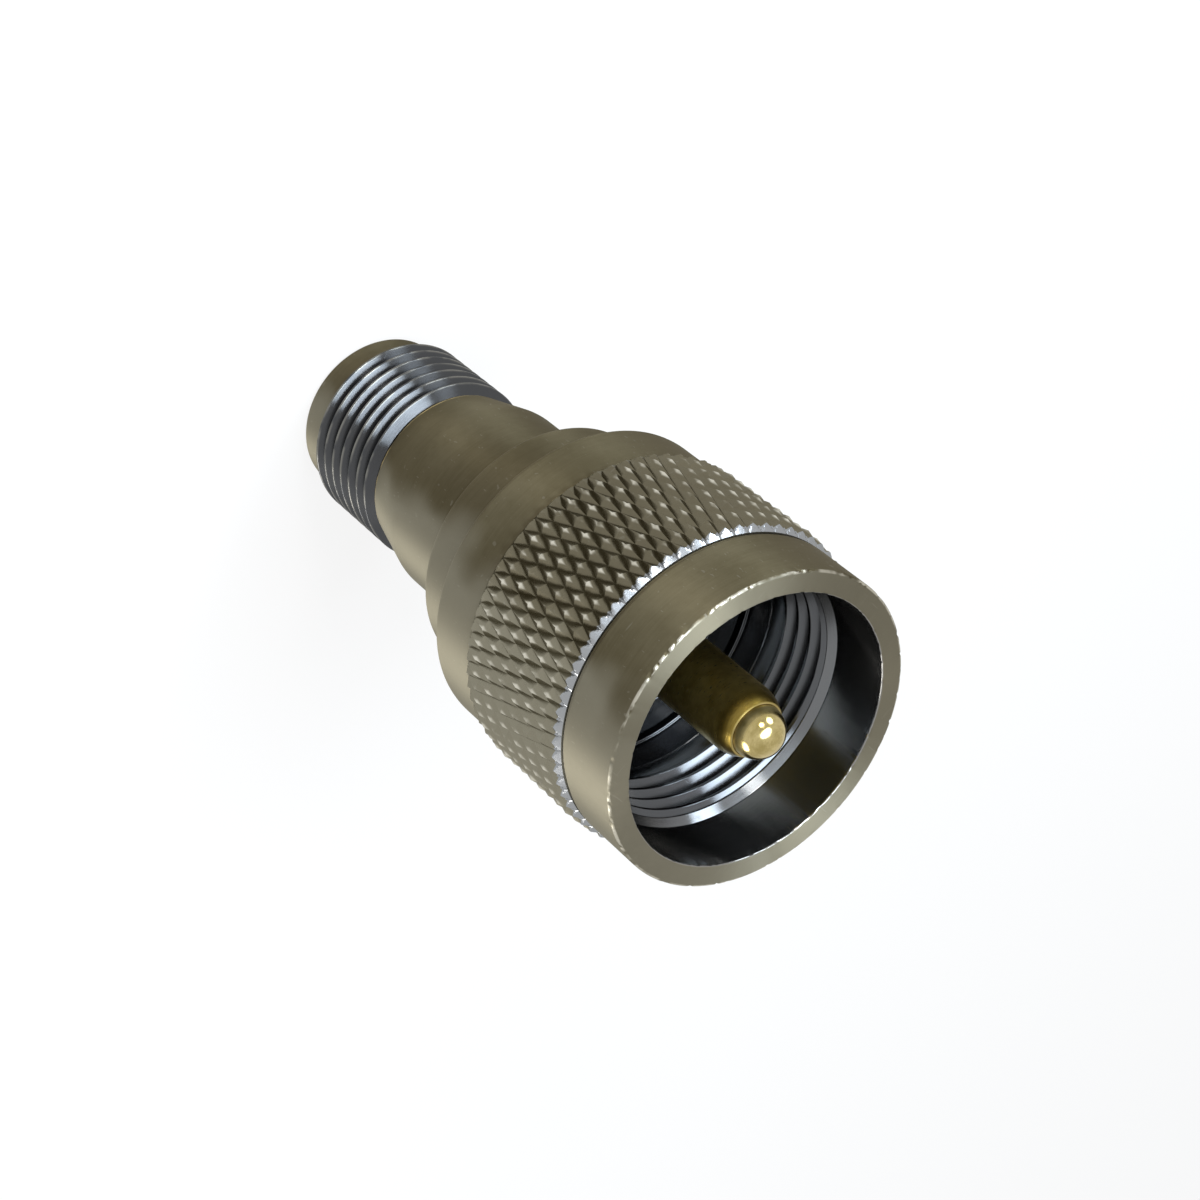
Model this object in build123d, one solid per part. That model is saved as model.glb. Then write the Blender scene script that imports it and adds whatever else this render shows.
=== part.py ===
from build123d import *
import math
import os

# A coaxial adapter: a screw-on plug with a knurled coupling nut at the top,
# a small threaded jack at the bottom. Millimetres, axis on Z.
# It stands on the jack's nose, whose end face is the plane z = 0.

# The jack end: a threaded tube with a plain nose
jack_bore_r = 4.05
jack_bore_depth = 5.4
nose_r = 4.95
nose_length = 1.7
jack_thread_r = 5.55
jack_thread_length = 6.5

# The waist: a cone and a barrel between the thread and the nut
cone_length = 3.7
barrel_r = 5.95
barrel_length = 6.2

# The flange and the journal that carry the nut, with the groove for the snap ring
flange_r = 7.55
flange_thickness = 1.2
journal_step = 0.15
journal_length = 5.05
ring_thickness = 1.0
ring_gap_width = 2.6
ring_bite = 0.65
nut_float = 1.5
tooth_width = 2.2
tooth_inset = 0.2
tooth_wall = 0.9
tooth_height = 0.7

# The raised collar round the front insulator
collar_r = 6.1
collar_wall = 0.8
collar_height = 0.4
insulator_recess = 1.1
front_insulator_length = 7.2

# The centre line: pin, socket and the insulators that hold them
pin_r = 2.0
pin_seat_r = 2.3
pin_reach = 1.35
pin_taper_length = 1.3
tip_r = 1.5
pin_collar_r = 2.7
pin_collar_length = 1.2
spigot_r = 0.7
spigot_length = 3.0
socket_r = 1.05
socket_bore_r = 0.675
socket_bore_depth = 5.2
socket_recess = 1.2
slot_width = 0.2
slot_length = 4.2
sleeve_r = 2.36
sleeve_recess = 0.6
finger_clearance = 0.1
rear_insulator_r = 3.5

# The coupling nut
nut_length = 16.5
nut_back_wall = 1.25
mouth_r = 8.0
mouth_depth = 3.8
nut_thread_r = 7.42
nut_thread_length = 4.6
ring_groove_depth = 0.55
nut_wall = 0.95
knurl_start = 4.3
knurl_length = 8.8
knurl_stand = 0.5
knurl_depth = 0.42
knurl_count = 66
knurl_rows = 6

# Clearances, and how far fused solids reach into each other
running_clearance = 0.1
ring_clearance = 0.05
overlap = 0.1

# Heights worked out from the sizes above
thread_end = nose_length + jack_thread_length
cone_end = thread_end + cone_length
barrel_end = cone_end + barrel_length
ring_seat = barrel_end + journal_length
ring_low = ring_seat + ring_clearance
ring_high = ring_low + ring_thickness
ring_gap_end = ring_high + nut_float + ring_clearance
flange_end = ring_gap_end + flange_thickness
collar_end = flange_end + collar_height
front_bore_r = collar_r - collar_wall
insulator_top = collar_end - insulator_recess
insulator_seat = insulator_top - front_insulator_length
pin_collar_start = insulator_seat - pin_collar_length
nut_low = ring_low - ring_clearance - nut_back_wall
journal_r = flange_r + journal_step
nut_bore_r = journal_r + running_clearance
ring_groove_r = nut_bore_r + ring_groove_depth
nut_r = ring_groove_r + nut_wall
knurl_crest_r = nut_r + knurl_stand
ring_inner_r = flange_r - ring_bite
ring_outer_r = ring_groove_r - running_clearance
nut_high = nut_low + nut_length


def turned(corners):
    """A turned solid from its (radius, height) corners."""
    outline = Polyline(*[(radius, 0, height) for radius, height in corners], close=True)
    return revolve(make_face(outline.edges()), Axis.Z)


def main_body():
    """Nose, thread, cone, barrel, journal, flange and collar, turned from one bar."""
    groove_r = ring_inner_r - ring_clearance
    body = turned([
        (jack_bore_r, 0),
        (nose_r, 0),
        (nose_r, nose_length),
        (jack_thread_r, nose_length),
        (jack_thread_r, thread_end),
        (nose_r, thread_end),
        (barrel_r, cone_end),
        (barrel_r, barrel_end),
        (journal_r, barrel_end),
        (journal_r, ring_seat),
        (groove_r, ring_seat),
        (groove_r, ring_gap_end),
        (flange_r, ring_gap_end),
        (flange_r, flange_end),
        (collar_r, flange_end),
        (collar_r, collar_end),
        (front_bore_r, collar_end),
        (front_bore_r, insulator_seat),
        (rear_insulator_r, insulator_seat),
        (rear_insulator_r, jack_bore_depth),
        (jack_bore_r, jack_bore_depth),
    ])
    for side in (1, -1):
        body += locating_tooth(side)
    return body


def locating_tooth(side):
    """One of the two teeth on the flange that key into the mating shell."""
    outer = flange_r - tooth_inset
    low = flange_end - overlap
    high = flange_end + tooth_height
    ring = turned([(outer - tooth_wall, low), (outer, low), (outer, high), (outer - tooth_wall, high)])
    block = Pos(0, side * outer, (low + high) / 2) * Box(tooth_width, 2 * outer, high - low)
    return ring & block


def snap_ring():
    """The open ring that sits in the nut's groove and in the wider groove of the body."""
    ring = turned([
        (ring_inner_r, ring_low),
        (ring_outer_r, ring_low),
        (ring_outer_r, ring_high),
        (ring_inner_r, ring_high),
    ])
    opening = Pos(ring_outer_r, 0, (ring_low + ring_high) / 2)
    return ring - opening * Box(ring_outer_r, ring_gap_width, 2 * ring_thickness)


def front_insulator():
    """The disc that centres the pin in the plug end."""
    return turned([
        (pin_seat_r, insulator_seat),
        (front_bore_r, insulator_seat),
        (front_bore_r, insulator_top),
        (pin_seat_r, insulator_top),
    ])


def rear_insulator():
    """The insulator of the jack: a thick part pressed into the body and a thin sleeve in the bore."""
    bore_r = socket_r + finger_clearance
    return turned([
        (bore_r, sleeve_recess),
        (sleeve_r, sleeve_recess),
        (sleeve_r, jack_bore_depth),
        (rear_insulator_r, jack_bore_depth),
        (rear_insulator_r, pin_collar_start),
        (bore_r, pin_collar_start),
    ])


def centre_pin():
    """The plug's pin: spigot, collar, seat for the insulator, straight shank, slow taper and ball tip."""
    tip_centre = nut_high + pin_reach - tip_r
    taper_start = tip_centre - pin_taper_length
    corners = Polyline(
        (0, 0, pin_collar_start - spigot_length),
        (spigot_r, 0, pin_collar_start - spigot_length),
        (spigot_r, 0, pin_collar_start),
        (pin_collar_r, 0, pin_collar_start),
        (pin_collar_r, 0, insulator_seat),
        (pin_seat_r, 0, insulator_seat),
        (pin_seat_r, 0, insulator_top),
        (pin_r, 0, insulator_top),
        (pin_r, 0, taper_start),
        (tip_r, 0, tip_centre),
    )
    half = tip_r * math.sqrt(0.5)
    dome = ThreePointArc(
        (tip_r, 0, tip_centre),
        (half, 0, tip_centre + half),
        (0, 0, tip_centre + tip_r),
    )
    core = Line((0, 0, tip_centre + tip_r), (0, 0, pin_collar_start - spigot_length))
    outline = corners.edges() + dome.edges() + core.edges()
    return revolve(make_face(outline), Axis.Z)


def socket_contact():
    """The slotted socket of the jack, pushed on to the pin's spigot."""
    contact = turned([
        (socket_bore_r, socket_recess),
        (socket_r, socket_recess),
        (socket_r, pin_collar_start),
        (spigot_r, pin_collar_start),
        (spigot_r, pin_collar_start - spigot_length),
        (0, pin_collar_start - spigot_length),
        (0, socket_recess + socket_bore_depth),
        (socket_bore_r, socket_recess + socket_bore_depth),
    ])
    slot = Pos(0, 0, socket_recess) * Box(4 * socket_r, slot_width, 2 * slot_length)
    for turn in (45, 135):
        contact -= Rot(0, 0, turn) * slot
    return contact


def knurled_sleeve(bore_r, low, high):
    """A sleeve with a diamond knurl: two families of V grooves cross and leave rows of pyramids."""
    columns = 2 * knurl_count

    def corner(column, row):
        is_crest = (column + row) % 2 == 0
        radius = knurl_crest_r if is_crest else knurl_crest_r - knurl_depth
        angle = 2 * math.pi * column / columns
        height = low + (high - low) * row / knurl_rows
        return Vector(radius * math.cos(angle), radius * math.sin(angle), height)

    def flat(*corners):
        return Face(Wire.make_polygon(corners, close=True))

    faces = []
    for row in range(knurl_rows):
        for column in range(columns):
            here, right = corner(column, row), corner(column + 1, row)
            above_right, above = corner(column + 1, row + 1), corner(column, row + 1)
            if (column + row) % 2 == 0:
                faces += [flat(here, right, above), flat(above_right, above, right)]
            else:
                faces += [flat(right, above_right, here), flat(above, here, above_right)]
    for row, height in ((0, low), (knurl_rows, high)):
        rim = Wire.make_polygon([corner(column, row) for column in range(columns)], close=True)
        bore = Wire.make_circle(bore_r, Plane(origin=(0, 0, height)))
        faces.append(Face(rim, [bore]))
    liner = Solid.make_cylinder(bore_r, high - low, Plane(origin=(0, 0, low)))
    faces += liner.faces().filter_by(GeomType.CYLINDER)
    return Solid(Shell(faces))


def coupling_nut():
    """The captive nut: mouth, thread, bore, a groove for the snap ring, and a knurled grip."""
    knurl_high = nut_high - knurl_start
    knurl_low = knurl_high - knurl_length
    core_r = knurl_crest_r - knurl_depth - overlap
    thread_high = nut_high - mouth_depth
    thread_low = thread_high - nut_thread_length
    nut = turned([
        (nut_r, nut_low),
        (nut_r, knurl_low),
        (core_r, knurl_low),
        (core_r, knurl_high),
        (nut_r, knurl_high),
        (nut_r, nut_high),
        (mouth_r, nut_high),
        (mouth_r, thread_high),
        (nut_thread_r, thread_high),
        (nut_thread_r, thread_low),
        (nut_bore_r, thread_low),
        (nut_bore_r, ring_high + ring_clearance),
        (ring_groove_r, ring_high + ring_clearance),
        (ring_groove_r, ring_low - ring_clearance),
        (nut_bore_r, ring_low - ring_clearance),
        (nut_bore_r, nut_low),
    ])
    return nut + knurled_sleeve(core_r - overlap, knurl_low, knurl_high)


def write_all():
    """One file for each piece, in the folder parts."""
    pieces = {
        "main_body": main_body(),
        "snap_ring": snap_ring(),
        "front_insulator": front_insulator(),
        "rear_insulator": rear_insulator(),
        "centre_pin": centre_pin(),
        "socket_contact": socket_contact(),
        "coupling_nut": coupling_nut(),
    }
    os.makedirs("parts", exist_ok=True)
    for name, piece in pieces.items():
        export_step(piece, f"parts/{name}.step")
        box = piece.bounding_box()
        print(f"{name}: {len(piece.solids())} solid, {piece.volume:.1f} mm3, "
              f"z {box.min.Z:.2f} to {box.max.Z:.2f}")


write_all()
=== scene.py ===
# %% [markdown]
# # A coaxial adapter, dressed round its solids
# The part is a plug with a knurled, captive nut at the top and a small threaded jack
# at the bottom. The solids that carry its sizes are loaded first. Each piece below
# stands in the same place as its solid, with the eased edges, threads, knurl and
# finishes that the solids leave out.

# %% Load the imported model
import math
import bmesh
import bpy
from mathutils import Matrix, Vector, noise


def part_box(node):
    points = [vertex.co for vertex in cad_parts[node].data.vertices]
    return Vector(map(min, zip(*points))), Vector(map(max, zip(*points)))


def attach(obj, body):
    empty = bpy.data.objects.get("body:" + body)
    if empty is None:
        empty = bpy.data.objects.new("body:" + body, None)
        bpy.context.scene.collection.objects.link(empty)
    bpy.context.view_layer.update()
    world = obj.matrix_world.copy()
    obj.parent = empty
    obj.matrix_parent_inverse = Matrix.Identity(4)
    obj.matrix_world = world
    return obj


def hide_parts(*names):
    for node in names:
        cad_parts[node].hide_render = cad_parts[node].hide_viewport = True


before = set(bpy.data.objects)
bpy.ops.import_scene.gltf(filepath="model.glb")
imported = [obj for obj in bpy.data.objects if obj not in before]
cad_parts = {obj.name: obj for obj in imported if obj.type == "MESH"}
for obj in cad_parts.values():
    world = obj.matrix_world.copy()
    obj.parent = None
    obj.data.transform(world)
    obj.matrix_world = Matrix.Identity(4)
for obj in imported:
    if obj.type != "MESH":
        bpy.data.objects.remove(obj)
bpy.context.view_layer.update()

# %% [markdown]
# ## Sizes
# Lengths are written in millimetres, as a turner would read them off a drawing, and
# turned into metres when a mesh is made. What the solids can tell is read from their
# boxes. What is hidden inside a box is named where a piece first needs it.

# %% Sizes read from the solids
MM = 0.001


def box_mm(node):
    """Lowest and highest corner of a solid, in millimetres."""
    low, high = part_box(node)
    return low / MM, high / MM


body_low, body_high = box_mm("main_body")
nut_low, nut_high = box_mm("coupling_nut")
ring_low, ring_high = box_mm("snap_ring")
pin_low, pin_high = box_mm("centre_pin")
front_low, front_high = box_mm("front_insulator")
rear_low, rear_high = box_mm("rear_insulator")
socket_low, _ = box_mm("socket_contact")

MOUTH = nut_high.z
NUT_BACK = nut_low.z
CREST_R = nut_high.x
KNURL_STAND = 0.5
NUT_R = CREST_R - KNURL_STAND
JOURNAL_R = body_high.x
print(f"nut {NUT_BACK:.2f} to {MOUTH:.2f} mm, {2 * CREST_R:.1f} mm across the knurl")

# %% [markdown]
# ## The camera
# The photo was taken from the plug's side, with the adapter's axis running from the
# upper left to the lower right. A pinhole camera fitted to the rims and edges of the
# photo gives three facts: the lens, the direction of the axis as the camera sees it,
# and the place of the nut's mouth. The camera is placed from these, so the adapter can
# stand upright on its jack while the picture shows it tilted.

# %% Camera from the fitted view
AXIS_SEEN = Vector((0.5599, -0.4663, 0.6849)).normalized()
MOUTH_SEEN = Vector((8.12, -6.74, -150.48))
LENS_MM = 88.5
SENSOR_MM = 36.0

origin_seen = MOUTH_SEEN - AXIS_SEEN * MOUTH
side_seen = AXIS_SEEN.cross(origin_seen).normalized()
depth_seen = AXIS_SEEN.cross(side_seen)
if depth_seen.dot(origin_seen) < 0:
    side_seen.negate()
    depth_seen.negate()
seen = Matrix((side_seen, depth_seen, AXIS_SEEN)).transposed().to_4x4()
seen.translation = origin_seen * MM

camera_data = bpy.data.cameras.new("camera")
camera_data.lens = LENS_MM
camera_data.sensor_width = SENSOR_MM
camera_data.clip_start = 0.005
camera = bpy.data.objects.new("camera", camera_data)
bpy.context.scene.collection.objects.link(camera)
camera.matrix_world = seen.inverted()
bpy.context.scene.camera = camera
print("camera at", [round(value / MM, 1) for value in camera.matrix_world.translation], "mm")

# %% [markdown]
# ## Sums that build nodes
# Both materials and Geometry Nodes are trees of nodes. Drawing them by hand is slow to
# read, so one small class wraps an output socket and adds a Math node for each
# operator. `radius * 2 - 1` then reads as it would on paper. All other nodes come from
# one method, `node`, which takes the type, its settings, and the values or links of
# its sockets.

# %% A socket that can be used in sums
class Link:
    """An output socket. Each operator adds one Math node and returns its output."""

    def __init__(self, tree, socket):
        self.tree = tree
        self.socket = socket

    def math(self, operation, *others):
        return self.tree.node("ShaderNodeMath", {"operation": operation}, dict(enumerate((self, *others))))

    def __add__(self, other):
        return self.math("ADD", other)

    def __radd__(self, other):
        return self.math("ADD", other)

    def __sub__(self, other):
        return self.math("SUBTRACT", other)

    def __rsub__(self, other):
        return self.tree.node("ShaderNodeMath", {"operation": "SUBTRACT"}, {0: other, 1: self})

    def __mul__(self, other):
        return self.math("MULTIPLY", other)

    def __rmul__(self, other):
        return self.math("MULTIPLY", other)

    def __truediv__(self, other):
        return self.math("DIVIDE", other)

    def __pow__(self, other):
        return self.math("POWER", other)

    def __gt__(self, other):
        return self.math("GREATER_THAN", other)

    def __lt__(self, other):
        return self.math("LESS_THAN", other)

    def __mod__(self, other):
        return self.math("FLOORED_MODULO", other)

    def least(self, other):
        return self.math("MINIMUM", other)

    def most(self, other):
        return self.math("MAXIMUM", other)

    def ramp(self, low, high):
        """0 below low, 1 above high, and a soft step between them."""
        settings = {"interpolation_type": "SMOOTHSTEP"}
        sockets = {"Value": self, "From Min": low, "From Max": high}
        return self.tree.node("ShaderNodeMapRange", settings, sockets)


class Tree:
    """A node tree being written, of a material or of Geometry Nodes."""

    def __init__(self, tree):
        self.tree = tree
        self.tree.nodes.clear()

    def node(self, kind, settings=None, sockets=None, output=0):
        """Adds a node: settings first, then the values or links of its sockets."""
        made = self.tree.nodes.new(kind)
        for name, value in (settings or {}).items():
            setattr(made, name, value)
        for key, value in (sockets or {}).items():
            if isinstance(value, Link):
                self.tree.links.new(value.socket, made.inputs[key])
            else:
                made.inputs[key].default_value = value
        return Link(self, made.outputs[output])

    def vector(self, x=0.0, y=0.0, z=0.0):
        return self.node("ShaderNodeCombineXYZ", None, {"X": x, "Y": y, "Z": z})

    def parts(self, vector):
        """The x, y and z of a vector."""
        first = self.node("ShaderNodeSeparateXYZ", None, {0: vector})
        return [Link(self, output) for output in first.socket.node.outputs]

    def mix(self, factor, low, high):
        """A colour between two colours."""
        settings = {"data_type": "RGBA"}
        return self.node("ShaderNodeMix", settings, {0: factor, 6: low, 7: high}, output=2)


print("node helpers ready")

# %% [markdown]
# ## Finishes
# Every surface is metal or white plastic, and each material is worked out from the
# object's own coordinates, in millimetres, so a pattern has its real size and stays on
# the piece when a joint moves. A class adds what all of them need: the Principled
# shader, the place in millimetres, the radius from the axis, and lines that run round
# the axis, as a lathe tool leaves them.

# %% A material in millimetres
class Finish(Tree):
    """A material on the Principled shader. Constants are set on the shader itself."""

    def __init__(self, name, constants):
        self.material = bpy.data.materials.new(name)
        self.material.use_nodes = True
        super().__init__(self.material.node_tree)
        self.shader = self.tree.nodes.new("ShaderNodeBsdfPrincipled")
        for label, value in constants.items():
            self.shader.inputs[label].default_value = value
        output = self.tree.nodes.new("ShaderNodeOutputMaterial")
        self.tree.links.new(self.shader.outputs["BSDF"], output.inputs["Surface"])
        own = self.node("ShaderNodeTexCoord", output=3)
        self.place = self.node("ShaderNodeVectorMath", {"operation": "SCALE"}, {0: own, "Scale": 1 / MM})
        self.x, self.y, self.z = self.parts(self.place)
        self.radius = (self.x * self.x + self.y * self.y) ** 0.5
        self.angle = self.y.math("ARCTAN2", self.x)

    def feed(self, label, link):
        self.tree.links.new(link.socket, self.shader.inputs[label])

    def noise(self, scale, detail=2.0, stretch=(1.0, 1.0, 1.0), place=None):
        """Soft noise from 0 to 1, scale being in patches per millimetre."""
        stretched = self.node("ShaderNodeVectorMath", {"operation": "MULTIPLY"}, {
            0: place or self.place,
            1: stretch,
        })
        return self.node("ShaderNodeTexNoise", None, {"Vector": stretched, "Scale": scale, "Detail": detail})

    def turning(self, scale):
        """Fine lines round the axis: noise that hardly changes with the angle."""
        wound = self.vector(self.radius, self.angle * 0.35, self.z)
        return self.noise(scale, 3.0, place=wound)

    def scratches(self, scale, stretch, level):
        """Thin bright hairs: only the peaks of noise that is stretched one way."""
        return self.noise(scale, 1.0, stretch).ramp(level, level + 0.05)

    def bump(self, height, distance_mm, strength=1.0):
        sockets = {"Height": height, "Distance": distance_mm * MM, "Strength": strength}
        self.feed("Normal", self.node("ShaderNodeBump", None, sockets))


print("finish helpers ready")

# %% [markdown]
# ## Nickel
# The outside is nickel over brass, dull from handling: a warm grey with faint clouds,
# fine turning lines and a few hairline scratches. One side is painted lighter, as a
# painted highlight. The crests and the rim's outer edge are worn bright, and where the
# jack's thread runs out a thin line of bare brass shows. Inside the mouth nobody touches
# the plating, so there it is still bright, and the wall in front of the thread is a
# mirror. The photo's nickel is dark, because it mirrors a dark room; here the studio is
# white, so the metal itself carries that grey. A lathe leaves its lines round the axis,
# and they draw every highlight out along the axis: the shader's anisotropy does the same.
# One recipe serves all nickel, with a few numbers that differ between pieces.

# %% Nickel's colours and sizes
DULL_DARK = (0.088, 0.073, 0.041, 1.0)
DULL_LIGHT = (0.124, 0.105, 0.064, 1.0)
# Lighter nickel: wear on the rim's face and on the knurl, and a painted highlight on one side of every nickel
# piece.
RUBBED_AND_LIT_SIDE = (0.238, 0.222, 0.168, 1.0)
WORN = (0.62, 0.59, 0.50, 1.0)
BRIGHT = (0.095, 0.099, 0.104, 1.0)
DARK_BRIGHT = (0.068, 0.070, 0.073, 1.0)
MIRROR = (0.25, 0.245, 0.235, 1.0)
LEAD_IN = (0.155, 0.16, 0.165, 1.0)
CUT = (0.31, 0.32, 0.33, 1.0)
BRASS = (0.60, 0.47, 0.23, 1.0)
HAIR = (0.34, 0.33, 0.29, 1.0)
TURNED = {"Anisotropic": 0.88, "Anisotropic Rotation": 0.25}
ROLLED = {"Anisotropic": 0.6, "Anisotropic Rotation": 0.25}
BLEND_MM = 0.03
MOUTH_DEPTH = 3.8
LEAD_DEPTH = 4.25
print(f"mouth {MOUTH_DEPTH} mm deep, and {LEAD_DEPTH} mm with the cone that leads into the thread")

# %% Nickel
def nickel(name, dull=0.48, shine=0.14, bright_within=0.0, bright_above=900.0, rim=900.0,
           worn_from=90.0, worn=0.8, rubbed=0.0, plating=BRIGHT, bared=None, gloss=TURNED):
    """Dull nickel outside, bright nickel near the axis or above a height, and worn crests.

    dull and shine are the roughness of the dull and of the bright nickel.
    rim is the height of the nut's mouth. Its edge is polished by wear; below it the wall
    is a mirror, down to the bright cone that leads into the thread.
    worn_from is the radius at which wear begins, and worn its strength there.
    bared is the range of heights in which the brass under the plating shows.
    """
    made = Finish(name, {"Metallic": 1.0, "Specular Tint": (0.7, 0.69, 0.66, 1.0), **gloss})
    cloud = made.noise(0.16, 2.0).ramp(0.3, 0.7)
    fine_cloud = made.noise(2.2, 4.0)
    lines = made.turning(9.0)
    hairs = made.scratches(0.5, (1.0, 22.0, 4.0), 0.72).most(made.scratches(0.45, (18.0, 1.0, 5.0), 0.73))
    bright = 1 - made.radius.ramp(bright_within - BLEND_MM, bright_within + BLEND_MM)
    bright = bright.most(made.z.ramp(bright_above, bright_above + 0.05))

    tone = (cloud * 0.4 + fine_cloud * 0.35 + lines * 0.35).ramp(0.2, 0.9)
    dull_color = made.mix(tone, DULL_DARK, DULL_LIGHT)
    # Painted highlight: the +x side of each nickel piece is painted lighter in the rubbed colour, as if it
    # mirrored more light. The rim's face, and a whole knurl through rubbed, are mixed towards the same colour
    # as wear.
    painted_lit_side = (made.x / made.radius + (cloud - 0.5) * 0.35).ramp(0.1, 0.55)
    on_rim = made.z.ramp(rim - 0.08, rim)
    dull_color = made.mix((painted_lit_side * 0.9).most(on_rim * 0.65).most(rubbed), dull_color, RUBBED_AND_LIT_SIDE)
    patches = made.noise(0.9, 2.0).ramp(0.35, 0.6)
    crest = made.radius.ramp(worn_from, worn_from + 0.1) * patches
    edge = (made.radius - NUT_R + made.z - rim).ramp(-0.16, -0.1)
    crest = crest.most(edge * patches * 0.8)
    haired = made.mix(hairs * 0.13, dull_color, HAIR)
    lead_in = made.z.ramp(rim - LEAD_DEPTH - 0.07, rim - LEAD_DEPTH + 0.03)
    wall = made.z.ramp(rim - MOUTH_DEPTH, rim - MOUTH_DEPTH + 0.1)
    inside = made.mix(wall, made.mix(lead_in, plating, LEAD_IN), MIRROR)
    plated = made.mix(bright, haired, inside)
    if bared:
        low, high = bared
        band = made.z.ramp(low - BLEND_MM, low) * (1 - made.z.ramp(high, high + BLEND_MM))
        plated = made.mix(band * patches, plated, BRASS)
    made.feed("Base Color", made.mix(crest * worn, plated, WORN))

    rough = (dull + cloud * 0.06 + fine_cloud * 0.08 - hairs * 0.1) * (1 - crest * 0.5)
    made.feed("Roughness", rough * (1 - bright) + bright * (shine + lines * 0.06))

    grain = made.noise(14.0, 3.0)
    height = lines * 0.6 + grain * 0.35 * (1 - bright) - hairs * 0.5
    made.bump(height, 0.0022)
    print(f"{name}: {len(made.tree.nodes)} nodes")
    return made.material


# %% [markdown]
# The nut is bright inside the radius of its mouth. The knurl is rolled, not turned, so
# its gloss is less drawn out; its tips are worn, and the chamfer in front of it is
# freshly cut. The body is bright on the flange and collar, which only the mouth shows,
# and bares its brass where the thread runs out. Both threads are bright all over.

# %% Nickel for each piece
CHAMFER_SHOWS = MOUTH - 4.68
FLANGE_SHOWS = 25.8
ALL_OVER = 30.0

nickel_nut = nickel("nickel_nut", bright_within=8.06, rim=MOUTH)
nickel_knurl = nickel(
    "nickel_knurl", dull=0.2, shine=0.2, bright_above=CHAMFER_SHOWS, worn_from=9.6, worn=0.9,
    rubbed=0.28, plating=CUT, gloss=ROLLED,
)
nickel_body = nickel("nickel_body", dull=0.46, bright_above=FLANGE_SHOWS, bared=(8.34, 8.52))
nickel_outer_thread = nickel(
    "nickel_outer_thread", bright_within=ALL_OVER, shine=0.16, worn_from=5.46, worn=0.2,
    plating=DARK_BRIGHT,
)
nickel_inner_thread = nickel("nickel_inner_thread", bright_within=ALL_OVER, shine=0.16)

# %% [markdown]
# ## Gold, white plastic and bronze
# The pin is gold over nickel. Its ball tip is burnished by use and its shank shows the
# lathe's rings. The insulators are a white fluoropolymer, waxy and never glossy. The
# snap ring is bare spring bronze, a little browned.

# %% Gold
SHANK_DEEP = (0.42, 0.305, 0.075, 1.0)
SHANK_PALE = (0.60, 0.455, 0.14, 1.0)
# Painted shade for the pin's taper.
TAPER_SHADE = (0.17, 0.118, 0.022, 1.0)
BALL_DEEP = (0.34, 0.27, 0.10, 1.0)
BALL_PALE = (0.52, 0.43, 0.20, 1.0)


def gold(name):
    """Ringed gold, with painted shade along the pin's taper, and polished on its ball.

    Heights are counted down from the top of the ball, in millimetres.
    """
    made = Finish(name, {"Metallic": 1.0, "IOR": 1.5})
    lines = made.turning(11.0)
    cloud = made.noise(1.4, 3.0)
    top = pin_high.z
    tip = made.z.ramp(top - 1.62, top - 1.52)
    tone = (cloud * 0.7 + lines * 0.3).ramp(0.3, 0.7)
    taper = made.z.ramp(top - 3.3, top - 2.0)
    shank = made.mix(tone, SHANK_DEEP, SHANK_PALE)
    # Painted shade: the taper just below the ball is painted darker, as if it mirrored the dark inside of the
    # mouth.
    shank = made.mix(taper * (0.6 + lines * 0.5), shank, TAPER_SHADE)
    polished = made.mix(tone, BALL_DEEP, BALL_PALE)
    made.feed("Base Color", made.mix(tip, shank, polished))
    side = 1 - made.z.ramp(top - 1.2, top - 0.7)
    made.feed("Roughness", (0.24 + lines * 0.1) * (1 - tip) + tip * (0.1 + cloud * 0.08 + side * 0.25))
    made.bump(lines * (1 - tip * 0.8) + cloud * 0.3, 0.003)
    return made.material


gold_plate = gold("gold_plate")
print("gold on the pin and the socket")

# %% White plastic and bronze
WAXY_DEEP = (0.77, 0.765, 0.74, 1.0)
WAXY_PALE = (0.83, 0.83, 0.815, 1.0)
BRONZE_DEEP = (0.30, 0.17, 0.08, 1.0)
BRONZE_PALE = (0.55, 0.36, 0.18, 1.0)


def white_plastic(name):
    made = Finish(name, {"Roughness": 0.5, "IOR": 1.38})
    cloud = made.noise(0.9, 4.0)
    lines = made.turning(7.0)
    made.feed("Base Color", made.mix(cloud.ramp(0.3, 0.7), WAXY_DEEP, WAXY_PALE))
    made.feed("Roughness", 0.42 + lines * 0.16)
    made.bump(lines + cloud * 0.5, 0.004)
    return made.material


def bronze(name):
    made = Finish(name, {"Metallic": 1.0})
    cloud = made.noise(1.1, 4.0)
    lines = made.turning(8.0)
    made.feed("Base Color", made.mix(cloud.ramp(0.3, 0.7), BRONZE_DEEP, BRONZE_PALE))
    made.feed("Roughness", 0.3 + cloud * 0.2)
    made.bump(lines + cloud, 0.003)
    return made.material


white_insulator = white_plastic("white_insulator")
spring_bronze = bronze("spring_bronze")
print("white plastic on the insulators, bronze on the snap ring")

# %% [markdown]
# ## Turned pieces
# Almost everything here came off a lathe, so one function does what the lathe does: it
# spins an outline round the axis. A corner of the outline has a radius, a height and
# an easing, the width of the broken edge. Real edges are never perfectly sharp, and it
# is the thin bright line along an eased edge that makes metal look like metal. A
# Bevel modifier could ease them too, but each width would be a weight stored on the
# mesh, and here it stands in the outline, beside its corner. Two more rings stand close
# to every easing, so that smooth shading doesn't smear over the flats.

# %% Outlines with eased corners
EASE_STEPS = 4
HOLD_MM = 0.03


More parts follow.
